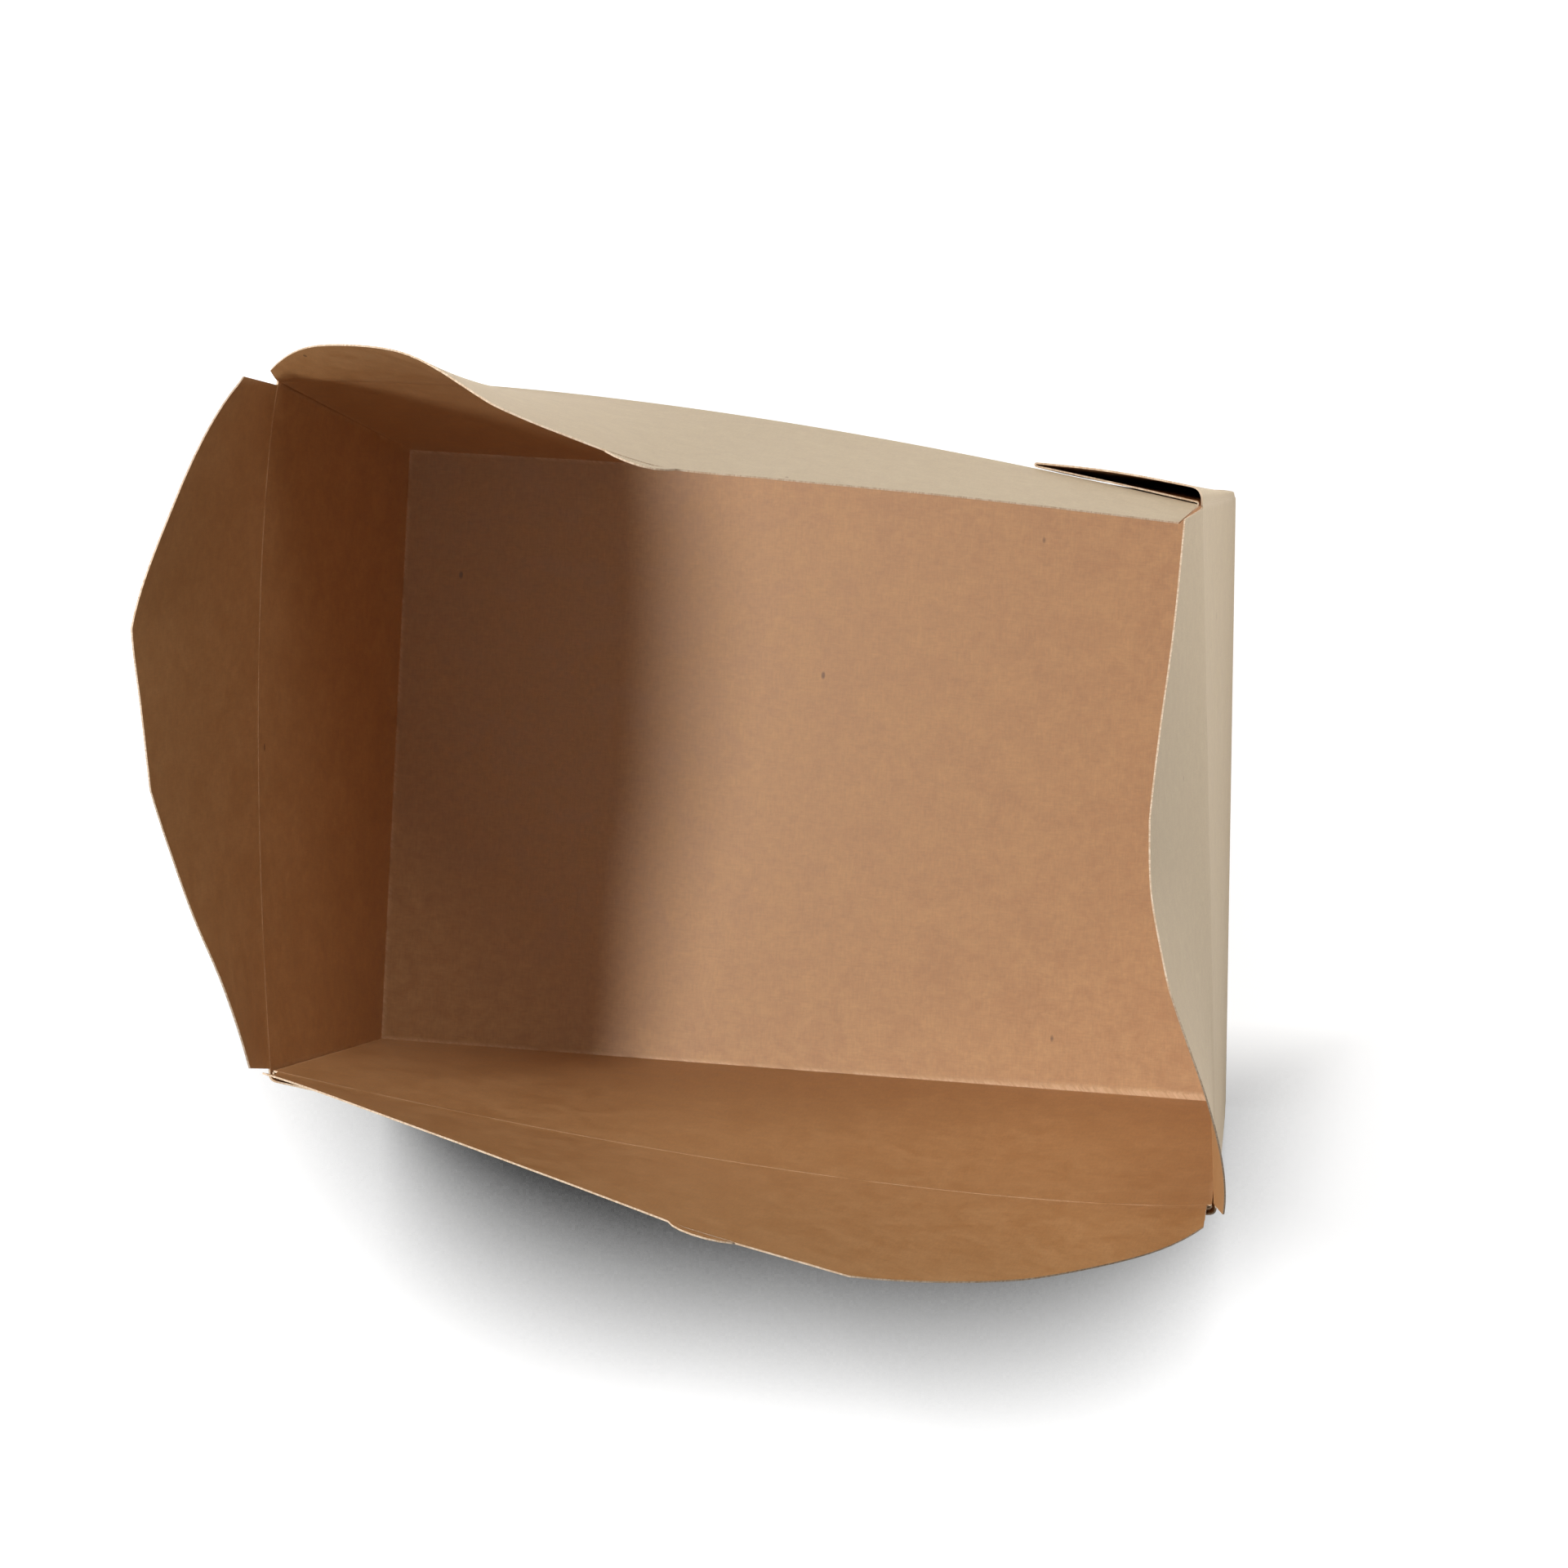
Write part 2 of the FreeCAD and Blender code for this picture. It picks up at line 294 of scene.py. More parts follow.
@dataclass
class Gusset:
    """One corner's folded-back double layer, in millimetres at the rim."""

    end: int
    side: int
    reach: float = 38.0
    wide_mouth: float = 2.9
    tight_mouth: float = 1.0
    slit: float = 0.75
    stand_off: float = 0.16
    fold_gap: float = 0.3
    crush_height: float = 5.0
    mouth_growth: float = 1.2
    turn_size: float = 1.2
    turn_per_mouth: float = 0.55
    turn_limit: float = 0.45
    end_inset: float = 6.0
    swell: float = 0.22
    least_reach: float = 0.5
    # How much the gusset's folds are tinted paler, as rubbed fibre and painted highlight: at the
    # corner, at the end wall and at the turn.
    fold_wear_and_highlight: tuple[float, float, float] = (0.3, 0.8, 0.25)
    layer_steps: int = 14
    fold_steps: int = 4
    turn_steps: int = 7

    @property
    def mouth(self) -> float:
        """How far the gusset opens at the rim."""
        return self.wide_mouth if self.end + self.side == 2 else self.tight_mouth

    def path(self, rise: float, wall: Callable[[float], Point], end_wall: Callable[[float], Point],
             out: Point, past: Point) -> list[tuple[Point, Point, float, float]]:
        """The sheet's middle line from the side wall, round the gusset, to the end wall.

        Args:
            rise: 0 at the base, 1 at the rim.
            wall: Gives a point of the side wall's inside face from its distance to the corner.
            end_wall: The same for the end wall.
            out: The side wall's outward direction here.
            past: The end wall's direction beyond the corner.

        Returns:
            For each sample: its place, the direction to the sheet's outer side, its
            distance from the corner along the layer, and how much it is a fold.
        """
        half = BLANK.board / 2
        reach = self.reach * rise
        grow = smooth(rise * BLANK.height / self.crush_height)
        near = (half + self.stand_off) * grow
        far = (half + self.fold_gap / 2) * grow
        samples: list[tuple[Point, Point, float, float]] = []

        def at(along: float, off: float) -> Point:
            """A place that stands off the side wall."""
            return wall(along) + out * off

        away = unit(wall(1.0) - wall(0.0))
        corner_wear_and_highlight, end_wear_and_highlight, turn_wear_and_highlight = self.fold_wear_and_highlight
        first = half + near
        for step in range(1, self.fold_steps):
            turn = math.pi * step / self.fold_steps
            centre = at(near, first)
            spoke = -away * math.sin(turn) - out * math.cos(turn)
            samples.append((centre + spoke * near, -spoke, 0.0, corner_wear_and_highlight))
        layer_b = half + 2 * near
        for step in range(self.layer_steps + 1):
            share = step / self.layer_steps
            along = near + (reach - near - far) * share
            samples.append((at(along, layer_b), -out, max(along, 0), 0.0))
        for step in range(1, self.fold_steps):
            turn = math.pi * step / self.fold_steps
            centre = at(reach - far, layer_b + far)
            spoke = away * math.sin(turn) - out * math.cos(turn)
            samples.append((centre + spoke * far, spoke, reach, end_wear_and_highlight))
        mouth = self.mouth * rise ** self.mouth_growth
        tip = at(0.0, layer_b + BLANK.board * grow + mouth)
        heel = at(reach - far, layer_b + 2 * far)
        turn_size = min(self.turn_limit * reach,
                        (self.turn_size + self.turn_per_mouth * self.mouth) * rise)
        beyond = float((tip - end_wall(0.0)) @ past)
        peak = end_wall(0.0) + past * beyond
        into = unit(heel - peak) if reach > self.least_reach else away
        layer_out = np.cross(into, UP)
        layer_out = layer_out if layer_out @ out > 0 else -layer_out
        for step in range(self.layer_steps + 1):
            share = step / self.layer_steps
            place = heel + (peak + into * turn_size - heel) * share
            swell = out * self.swell * mouth * math.sin(math.pi * share)
            samples.append((place + swell, layer_out, reach * (1 - share), 0.0))
        leave = end_wall(0.0) + past * max(-self.end_inset, beyond - turn_size)
        for step in range(1, self.turn_steps):
            share = step / self.turn_steps
            place = (peak + into * turn_size) * (1 - share) ** 2 + peak * 2 * share * (1 - share)
            place = place + leave * share ** 2
            facing = unit(layer_out * (1 - share) + self.end_out(past) * share)
            samples.append((place, facing, 0.0, turn_wear_and_highlight * math.sin(math.pi * share)))
        return samples

    def end_out(self, past: Point) -> Point:
        """The end wall's outward direction."""
        across = np.cross(past, UP)
        return across if across[0] * self.end > 0 else -across


@dataclass
class Tray:
    """Base, four walls and four gussets, folded from one sheet."""

    side_steps: int = 76
    end_steps: int = 58
    levels: tuple[float, ...] = (
        0, 0.25, 0.6, 1.2, 2.2, 4, 6.5, 10, 14, 19, 25, 31, 37, 43, 49, 55, 61, 67, 72, 77,
        81, 84.5, 87, 88.4, 89.2, 89.6, 89.85, 90)
    crease_width: float = 0.55
    ridge: float = 0.1
    # How much the corner creases between walls are tinted paler, as rubbed fibre and painted
    # highlight.
    corner_wear_and_highlight: float = 0.6
    packing: float = 0.55
    tangent_step: float = 0.01
    base_rise: float = 0.5
    base_thinning: float = 0.9

    def crease(self, distance: float) -> float:
        """How much of a scored crease shows at a distance from it."""
        return math.exp(-((distance / self.crease_width) ** 2))

    def wall_samples(self, side: Side, rise: float) -> list[tuple[Point, Point, tuple, float]]:
        """One wall's samples at a height, both faces, from the flap's arc end.

        Args:
            side: The wall.
            rise: 0 at the base, 1 at the rim.

        Returns:
            Inside point, outside point, place on the flat blank and crease share.
        """
        steps = self.side_steps if side in (Side.FRONT, Side.BACK) else self.end_steps
        start, stop = BLANK.ends(side, rise)
        run = float(np.linalg.norm(stop - start))
        shift = self.end_shift(side, rise)
        samples = []
        for step in range(steps + 1):
            share = self.spread(step / steps)
            place = BLANK.wall_point(side, share, rise) + shift
            ahead = BLANK.wall_point(side, min(1.0, share + self.tangent_step), rise)
            behind = BLANK.wall_point(side, max(0.0, share - self.tangent_step), rise)
            facing = outward(behind, ahead)
            height = BLANK.height * rise
            # The crease share tints the creases paler, as rubbed fibre and painted highlight, and
            # raises their ridge.
            wear_and_highlight = max(self.crease(height), self.crease(BLANK.height - height))
            corner_wear_and_highlight = self.corner_wear_and_highlight * self.crease(min(share, 1 - share) * run)
            lift = facing * self.ridge * -wear_and_highlight * (0 < rise < 1)
            base_lift = UP * BLANK.board * (1 - rise)
            flat = self.flat_place(side, share, height, run)
            samples.append((place + lift + base_lift, place + facing * BLANK.board,
                            flat, max(wear_and_highlight, corner_wear_and_highlight)))
        return samples

    def spread(self, share: float) -> float:
        """Packs the samples closer towards both ends of a wall."""
        return share - self.packing * math.sin(2 * math.pi * share) / (2 * math.pi)

    def end_shift(self, side: Side, rise: float) -> Point:
        """How far an end wall stands off the side walls' ends."""
        if side in (Side.FRONT, Side.BACK):
            return np.zeros(3)
        start, stop = BLANK.ends(side, rise)
        return outward(start, stop) * Gusset(1, 1).slit * rise

    @staticmethod
    def flat_place(side: Side, share: float, height: float, run: float) -> tuple[float, float]:
        """A wall point's place on the flat blank, in millimetres."""
        along = (share - 0.5) * run
        half_length, half_width = BLANK.base_length / 2, BLANK.base_width / 2
        return {Side.FRONT: (-along, -half_width - height), Side.BACK: (along, half_width + height),
                Side.LEFT: (-half_length - height, -along),
                Side.RIGHT: (half_length + height, along)}[side]

    def gusset_samples(self, end: int, side: int, rise: float) -> list[tuple]:
        """One gusset's samples at a height, from the side wall to the end wall.

        Args:
            end: -1 at the left, 1 at the right.
            side: -1 at the front, 1 at the back.
            rise: 0 at the base, 1 at the rim.

        Returns:
            Inside point, outside point, place on the flat blank and crease share.
        """
        gusset = Gusset(end, side)
        long_side = Side.FRONT if side < 0 else Side.BACK
        short_side = Side.LEFT if end < 0 else Side.RIGHT
        here = BLANK.corner(end, side, rise)
        long_at_start = np.allclose(BLANK.ends(long_side, rise)[0], here)
        short_at_start = np.allclose(BLANK.ends(short_side, rise)[0], here)
        start, stop = BLANK.ends(long_side, rise)
        run = float(np.linalg.norm(stop - start))
        short_start, short_stop = BLANK.ends(short_side, rise)
        short_run = float(np.linalg.norm(short_stop - short_start))
        shift = self.end_shift(short_side, rise)
        out = outward(start, stop)
        past = unit(here - (short_stop if short_at_start else short_start))
        off = outward(short_start, short_stop)

        def wall(along: float) -> Point:
            """A point of the side wall's inside face."""
            share = along / run
            return BLANK.wall_point(long_side, share if long_at_start else 1 - share, rise)

        def end_wall(along: float) -> Point:
            """A point in the middle of the end wall's board."""
            share = along / short_run
            place = BLANK.wall_point(short_side, share if short_at_start else 1 - share, rise)
            return place + shift + off * BLANK.board / 2

        half = BLANK.board / 2 * smooth(rise * BLANK.height / gusset.crush_height)
        base_lift = UP * BLANK.board * (1 - rise)
        height = BLANK.height * rise
        samples = []
        for place, facing, along, fold in gusset.path(rise, wall, end_wall, out, past):
            flat = (end * (BLANK.base_length / 2 + along), side * (BLANK.base_width / 2 + height))
            samples.append((place - facing * half + base_lift * (half > 0),
                            place + facing * half, flat, fold))
        return samples

    def ring(self, rise: float) -> list[tuple]:
        """All samples of the sheet at a height, once round, clockwise from above."""
        front = self.wall_samples(Side.FRONT, rise)
        left = self.wall_samples(Side.LEFT, rise)[::-1]
        back = self.wall_samples(Side.BACK, rise)
        right = self.wall_samples(Side.RIGHT, rise)[::-1]
        ring = front + self.gusset_samples(-1, -1, rise)
        ring += left + self.gusset_samples(-1, 1, rise)[::-1]
        ring += back + self.gusset_samples(1, 1, rise)
        ring += right + self.gusset_samples(1, -1, rise)[::-1]
        return ring

    def build(self) -> bpy.types.Object:
        """Makes the tray as one piece, which stands for the CAD node.

        Returns:
            The tray's object.
        """
        sheet = SheetMesh("tray_board")
        rows = []
        for level in self.levels:
            ring = self.ring(level / BLANK.height)
            rows.append([sheet.point(*sample) for sample in ring])
        for low, high in zip(rows, rows[1:]):
            count = len(low)
            for i in range(count):
                j = (i + 1) % count
                sheet.face(low[i], low[j], high[j], high[i])
        self.add_base(sheet, rows[0])
        piece = sheet.build()
        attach(piece, "tray")
        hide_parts("tray")
        return piece

    def add_base(self, sheet: SheetMesh, ring: list[int]) -> None:
        """Fills the bottom of the sheet with the base.

        Args:
            sheet: The sheet that holds the walls.
            ring: The numbers of the walls' lowest points, once round.
        """
        folds = len(self.gusset_samples(1, 1, 0.0))
        sides, ends = self.side_steps + 1, self.end_steps + 1
        front = ring[:sides]
        left = ring[sides + folds:sides + folds + ends]
        back = ring[sides + ends + 2 * folds:2 * sides + ends + 2 * folds]
        right = ring[2 * sides + ends + 3 * folds:2 * sides + 2 * ends + 3 * folds]
        rows = [left]
        for i in range(1, self.side_steps):
            row = [front[self.side_steps - i]]
            for j in range(1, self.end_steps):
                across = self.spread(j / self.end_steps)
                low = sheet.inside[row[0]]
                high = sheet.inside[back[i]]
                place = low + (high - low) * across
                lift = UP * self.base_swell(place)
                # The base's creases are tinted paler too, as rubbed fibre and painted highlight.
                wear_and_highlight = max(self.crease(BLANK.base_width / 2 - abs(place[1])),
                           self.crease(BLANK.base_length / 2 - abs(place[0])))
                under = place + lift * self.base_thinning - UP * BLANK.board
                row.append(sheet.point(place + lift, under, place[:2], wear_and_highlight))
            row.append(back[i])
            rows.append(row)
        rows.append(right[::-1])
        for low, high in zip(rows, rows[1:]):
            for j in range(self.end_steps):
                sheet.face(low[j], high[j], high[j + 1], low[j + 1])

    def base_swell(self, place: Point) -> float:
        """The base's slight rise off the ground towards its middle."""
        along = 1 - (2 * place[0] / BLANK.base_length) ** 2
        across = 1 - (2 * place[1] / BLANK.base_width) ** 2
        return self.base_rise * max(along, 0) * max(across, 0)


# The flaps


# Longest piece of a flap's free edge, in millimetres
FREE_EDGE_STEP = 3.0


@dataclass
class Outline:
    """A flap's outline on the flat board, from the arc end, in millimetres."""

    foot: tuple[float, float]
    shoulder: tuple[float, float]
    peak: tuple[float, float]
    arc_radius: float
    slope: tuple[tuple[float, float], ...]

    def arc(self, steps: int) -> list[tuple[float, float]]:
        """Points of the rounded side, from the shoulder to the peak."""
        return arc_points(self.shoulder, self.peak, self.arc_radius, steps)

    def top(self, steps: int) -> list[tuple[float, float]]:
        """Points of the whole free edge, closely and evenly enough for a smooth bend."""
        points = self.arc(steps)
        for stop in self.slope:
            start = points[-1]
            pieces = max(1, round(math.dist(start, stop) / FREE_EDGE_STEP))
            for i in range(1, pieces + 1):
                share = i / pieces
                points.append((start[0] + (stop[0] - start[0]) * share,
                               start[1] + (stop[1] - start[1]) * share))
        return points


def arc_points(start: Sequence[float], stop: Sequence[float], radius: float,
               steps: int) -> list[tuple[float, float]]:
    """Points of an arc that bulges to the left of the way from stop to start.

    Args:
        start: Where the arc begins.
        stop: Where it ends.
        radius: Its radius.
        steps: Into how many chords it is divided.

    Returns:
        The points, both ends included.
    """
    a, b = np.array(start, float), np.array(stop, float)
    chord = b - a
    length = float(np.linalg.norm(chord))
    across = np.array([-chord[1], chord[0]]) / length
    centre = (a + b) / 2 - across * math.sqrt(max(radius ** 2 - length ** 2 / 4, 0))
    first = math.atan2(*(a - centre)[::-1])
    sweep = (math.atan2(*(b - centre)[::-1]) - first + math.pi) % (2 * math.pi) - math.pi
    return [tuple(centre + radius * np.array([math.cos(first + sweep * i / steps),
                                              math.sin(first + sweep * i / steps)]))
            for i in range(steps + 1)]


LONG_OUTLINE = Outline((1.1, 214.0), (-0.4, 12.0), (66.0, 79.0), 175.0,
                       ((92.5, 77.0), (103.5, 75.2), (108.0, 73.0), (212.9, 21.0)))
BACK_OUTLINE = Outline((1.1, 215.2), (-0.4, 12.0), (66.0, 79.0), 175.0,
                       ((92.5, 77.0), (103.5, 75.2), (108.0, 73.0), (214.3, 21.0)))
END_OUTLINE = Outline((0.6, 157.6), (-1.8, 24.0), (54.0, 75.5), 97.0,
                      ((90.5, 67.0), (155.8, 23.0)))
TUCK_OUTLINE = Outline((1.0, 157.6), (-0.4, 24.0), (54.0, 75.5), 97.0, END_OUTLINE.slope)


# How far each flap leans out, in degrees, at shares of its crease from the arc end
FRONT_LEANS = ((0, 26), (0.05, 19.5), (0.16, 14.2), (0.3, 10), (0.43, 7), (0.6, 4),
               (0.71, 2), (0.86, -1.7), (1, -7.4))
BACK_LEANS = ((0, 25), (0.08, 15.5), (0.2, 8), (0.3, 0.3), (0.4, -4.6), (0.48, -7.6),
              (0.6, -8.6), (0.8, -9.2), (1, -10))
LEFT_LEANS = ((0, 5.5), (0.16, 6.6), (0.34, 9.1), (0.45, 8.4), (0.66, 7.2), (0.77, 5.2),
              (0.86, 1.2), (1, -4.5))
RIGHT_LEANS = ((0, 15), (0.05, 13), (0.16, 8.5), (0.3, 3), (0.4, 0), (0.47, -1.8),
               (0.57, -2.5), (0.7, -2.4), (0.85, -1.4), (1, -1.4))


@dataclass
class Flap:
    """A closing flap: its outline, and how it leans and curls where it stands open."""

    side: Side
    outline: Outline
    leans: tuple[tuple[float, float], ...]
    body_lean: float
    root: float = 8.0
    bend_height: float = 2.6
    arc_steps: int = 34
    rows: tuple[float, ...] = (0, 0.25, 0.6, 1.1, 1.8, 2.8, 4.5, 7.0)
    row_steps: int = 16
    crease_width: float = 0.5
    ridge: float = 0.1
    probe: float = 0.05
    # How much the crease is tinted paler along its length, as rubbed fibre and painted highlight.
    rub_and_highlight_along: tuple[tuple[float, float], ...] = ((0.0, 0.12), (1.0, 0.12))

    @property
    def node(self) -> str:
        """The CAD node and body of this flap."""
        return self.side.value + "_flap"

    def lean(self, share: float) -> float:
        """Outward lean in radians at a share of the crease, from the arc end."""
        return math.radians(through(self.leans, share))

    def run(self) -> float:
        """Length of the crease between the corners."""
        return BLANK.rim_length if self.side in (Side.FRONT, Side.BACK) else BLANK.rim_width

    def place(self, along: float, rise: float) -> Point:
        """A point of the flap's inside face.

        Args:
            along: Distance from the arc end along the crease.
            rise: Distance from the crease, up the flap.

        Returns:
            The point's place.
        """
        share = along / self.run()
        start, stop = BLANK.ends(self.side, 1.0)
        out = outward(start, stop)
        foot = BLANK.wall_point(self.side, share, 1.0)
        if self.side in (Side.LEFT, Side.RIGHT):
            foot = foot + out * Gusset(1, 1).slit
        base = math.radians(self.body_lean)
        extra = self.lean(share) - base
        arm = rise * rise / (2 * self.root) if rise < self.root else rise - self.root / 2
        straight = rise - arm
        up_base = UP * math.cos(base) + out * math.sin(base)
        up_top = UP * math.cos(base + extra) + out * math.sin(base + extra)
        return foot + up_base * straight + up_top * arm

    def skin(self, along: float, rise: float) -> tuple[Point, Point]:
        """Inside and outside points of the board at a place on the flap."""
        step = self.probe
        tangent = self.place(along + step, rise) - self.place(along - step, rise)
        upward = self.place(along, rise + step) - self.place(along, max(0.0, rise - step))
        normal = unit(np.cross(tangent, upward))
        start, stop = BLANK.ends(self.side, 1.0)
        normal = normal if normal @ outward(start, stop) > 0 else -normal
        level = normal * [1, 1, 0] if rise < step else normal
        inside = self.place(along, rise)
        ridge = self.ridge * math.exp(-((rise / self.crease_width) ** 2)) * (rise > 0)
        return inside - normal * ridge, inside + unit(level) * BLANK.board

    def flat(self, along: float, rise: float) -> tuple[float, float]:
        """The place on the flat blank."""
        share = along / self.run()
        return Tray.flat_place(self.side, share, BLANK.height + rise, self.run())

    def add(self, sheet: SheetMesh, along: float, rise: float) -> int:
        """Adds one point of the flap to its sheet."""
        inside, outside = self.skin(along, rise)
        # How much this crease is tinted paler here, as rubbed fibre and painted highlight.
        rub_and_highlight = float(np.interp(along / self.run(), *zip(*self.rub_and_highlight_along)))
        wear_and_highlight = math.exp(-((rise / self.crease_width) ** 2)) * rub_and_highlight
        return sheet.point(inside, outside, self.flat(along, rise), wear_and_highlight)

    def build(self) -> bpy.types.Object:
        """Makes the flap as one piece.

        Returns:
            The flap's object.
        """
        sheet = SheetMesh(self.node + "_board")
        top = self.outline.top(self.arc_steps)
        first, last = self.outline.foot
        span = top[-1][0] - top[0][0]
        grid = []
        for along_top, rise_top in top:
            share = (along_top - top[0][0]) / span
            along_foot = first + (last - first) * share
            rises = list(self.rows)
            rises += [self.rows[-1] + (rise_top - self.rows[-1]) * i / self.row_steps
                      for i in range(1, self.row_steps + 1)]
            grid.append([self.add(sheet, along_foot + (along_top - along_foot) * r / rise_top, r)
                         for r in rises])
        for low, high in zip(grid, grid[1:]):
            for j in range(len(low) - 1):
                self.add_face(sheet, low[j], high[j], high[j + 1], low[j + 1])
        self.add_finger(sheet, top, [column[-1] for column in grid])
        piece = sheet.build()
        self.join(piece)
        return piece

    def add_face(self, sheet: SheetMesh, a: int, b: int, c: int, d: int) -> None:
        """Adds a face, turned so that it is seen from the food side."""
        if self.side in (Side.FRONT, Side.BACK):
            sheet.face(a, b, c, d)
        else:
            sheet.face(d, c, b, a)

    def add_finger(self, sheet: SheetMesh, top: list[tuple[float, float]], ids: list[int]) -> None:
        """End flaps have no lock finger."""

    def join(self, piece: bpy.types.Object) -> None:
        """Hides the flap's CAD part and bakes the piece's transform into its mesh."""
        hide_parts(self.node)
        self.node
        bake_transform(piece)


@dataclass
class LockFlap(Flap):
    """A long flap, with a finger that a slit cuts free in its free edge."""

    slit_width: float = 0.6
    mouth_along: float = 92.5
    slit_end_along: float = 103.5
    finger_radius: float = 9.8
    # The long flaps' creases are tinted much paler near both ends: a painted highlight along the
    # crease bead, with some rubbed fibre.
    rub_and_highlight_along: tuple[tuple[float, float], ...] = ((0.0, 1.0), (0.17, 1.0), (0.23, 0.15),
                                             (0.84, 0.15), (0.9, 0.9), (1.0, 0.9))
    finger_steps: int = 12
    tolerance: float = 0.01

    def add_finger(self, sheet: SheetMesh, top: list[tuple[float, float]], ids: list[int]) -> None:
        """Adds the rounded finger above the slit.

        Args:
            sheet: The flap's sheet.
            top: The free edge's points.
            ids: Their numbers in the sheet.
        """
        root = self.outline.slope[2]
        lip = [(i, p) for i, p in zip(ids, top)
               if self.mouth_along - self.tolerance < p[0] < root[0] + self.tolerance]
        lower = []
        for number, (along, rise) in lip:
            if along < self.slit_end_along + self.tolerance:
                number = self.add(sheet, along, rise + self.slit_width)
                rise += self.slit_width
            lower.append((number, (along, rise)))
        back = arc_points(lower[0][1], root, self.finger_radius, len(lower) - 1)
        columns = []
        for (number, (along, rise)), tip in zip(lower, back):
            column = [number]
            for step in range(1, self.finger_steps + 1):
                share = step / self.finger_steps
                if math.dist((along, rise), tip) > self.tolerance:
                    column.append(self.add(sheet, along + (tip[0] - along) * share,
                                           rise + (tip[1] - rise) * share))
                else:
                    column.append(number)
            columns.append(column)
        for low, high in zip(columns, columns[1:]):
            for j in range(self.finger_steps):
                self.add_face(sheet, low[j], high[j], high[j + 1], low[j + 1])


@dataclass
class TuckFlap(Flap):
    """An end flap that rides on the flap's body."""

    keep: float = 0.08

    def join(self, piece: bpy.types.Object) -> None:
        """Rides on the flap's body, with a mesh of its own."""
        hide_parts(self.node)
        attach(piece, self.node)
        self.node + "_crease"
        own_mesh(piece)


# Node groups that the finishes share


def new_group(name: str, inputs: Sequence[tuple[str, str, object]],
              outputs: Sequence[tuple[str, str]]) -> bpy.types.ShaderNodeTree:
    """Starts a shader node group.

    Args:
        name: The group's name.
        inputs: Name, socket type and default of each input.
        outputs: Name and socket type of each output.

    Returns:
        The group, with its input and output nodes named "in" and "out".
    """
    group = bpy.data.node_groups.new(name, "ShaderNodeTree")
    for label, kind, default in inputs:
        socket = group.interface.new_socket(label, in_out="INPUT", socket_type=kind)
        if default is not None:
            socket.default_value = default
    for label, kind in outputs:
        group.interface.new_socket(label, in_out="OUTPUT", socket_type=kind)
    group.nodes.new("NodeGroupInput").name = "in"
    group.nodes.new("NodeGroupOutput").name = "out"
    return group


class Wiring:
    """Short ways to add and join the nodes of one tree."""

    def __init__(self, tree: bpy.types.NodeTree) -> None:
        """Works on one node tree."""
        self.tree = tree

    def node(self, kind: str, **values: object) -> bpy.types.Node:
        """Adds a node and sets its properties."""
        made = self.tree.nodes.new(kind)
        for name, value in values.items():
            setattr(made, name, value)
        return made

    def join(self, source: bpy.types.NodeSocket, target: bpy.types.NodeSocket) -> None:
        """Links an output to an input."""
        self.tree.links.new(source, target)

    def noise(self, vector: bpy.types.NodeSocket, scale: float, detail: float = 4.0,
              roughness: float = 0.55, distortion: float = 0.0) -> bpy.types.NodeSocket:
        """A noise texture's value."""
        made = self.node("ShaderNodeTexNoise", noise_dimensions="2D")
        made.inputs["Scale"].default_value = scale
        made.inputs["Detail"].default_value = detail
        made.inputs["Roughness"].default_value = roughness
        made.inputs["Distortion"].default_value = distortion
        self.join(vector, made.inputs["Vector"])
        return made.outputs["Fac"]

    def stretch(self, vector: bpy.types.NodeSocket, scale: Sequence[float],
                move: Sequence[float] = (0, 0, 0), turn: float = 0.0) -> bpy.types.NodeSocket:
        """A scaled, turned and moved copy of a vector."""
        made = self.node("ShaderNodeMapping")
        made.inputs["Scale"].default_value = scale
        made.inputs["Location"].default_value = move
        made.inputs["Rotation"].default_value = (0, 0, turn)
        self.join(vector, made.inputs["Vector"])
        return made.outputs["Vector"]

    def remap(self, value: bpy.types.NodeSocket, low: float, high: float,
              to_low: float = 0.0, to_high: float = 1.0) -> bpy.types.NodeSocket:
        """A value's range mapped to another one, held at its ends."""
        made = self.node("ShaderNodeMapRange")
        for name, number in (("From Min", low), ("From Max", high),
                             ("To Min", to_low), ("To Max", to_high)):
            made.inputs[name].default_value = number
        self.join(value, made.inputs["Value"])
        return made.outputs["Result"]

    def math(self, kind: str, first: object, second: object = None) -> bpy.types.NodeSocket:
        """A math node on sockets or numbers."""
        made = self.node("ShaderNodeMath", operation=kind)
        for slot, value in enumerate((first, second)):
            if isinstance(value, (int, float)):
                made.inputs[slot].default_value = value
            elif value is not None:
                self.join(value, made.inputs[slot])
        return made.outputs["Value"]

    def tint(self, share: object, first: object, second: object,
             kind: str = "MIX") -> bpy.types.NodeSocket:
        """A mix of two colours, each a socket or an RGBA tuple."""
        made = self.node("ShaderNodeMix", data_type="RGBA", blend_type=kind)
        for slot, value in ((0, share), (6, first), (7, second)):
            if isinstance(value, bpy.types.NodeSocket):
                self.join(value, made.inputs[slot])
            else:
                made.inputs[slot].default_value = value
        return made.outputs[2]

    def place_group(self, group: bpy.types.ShaderNodeTree, **values: object) -> bpy.types.Node:
        """Adds a node group and fills its inputs, underscores for spaces in names."""
        made = self.node("ShaderNodeGroup", node_tree=group)
        for name, value in values.items():
            target = made.inputs[name.replace("_", " ")]
            if isinstance(value, bpy.types.NodeSocket):
                self.join(value, target)
            else:
                target.default_value = value
        return made


# How far the fibres are drawn out, and how much of the clouds is coarse
FIBRE_DRAW = 0.16
COARSE_SHARE = 0.55

# Cells of one fleck each, to the metre, and where in its cell a fleck starts to fade and ends
FLECK_CELLS = 150
FLECK_RIM = (0.045, 0.09)


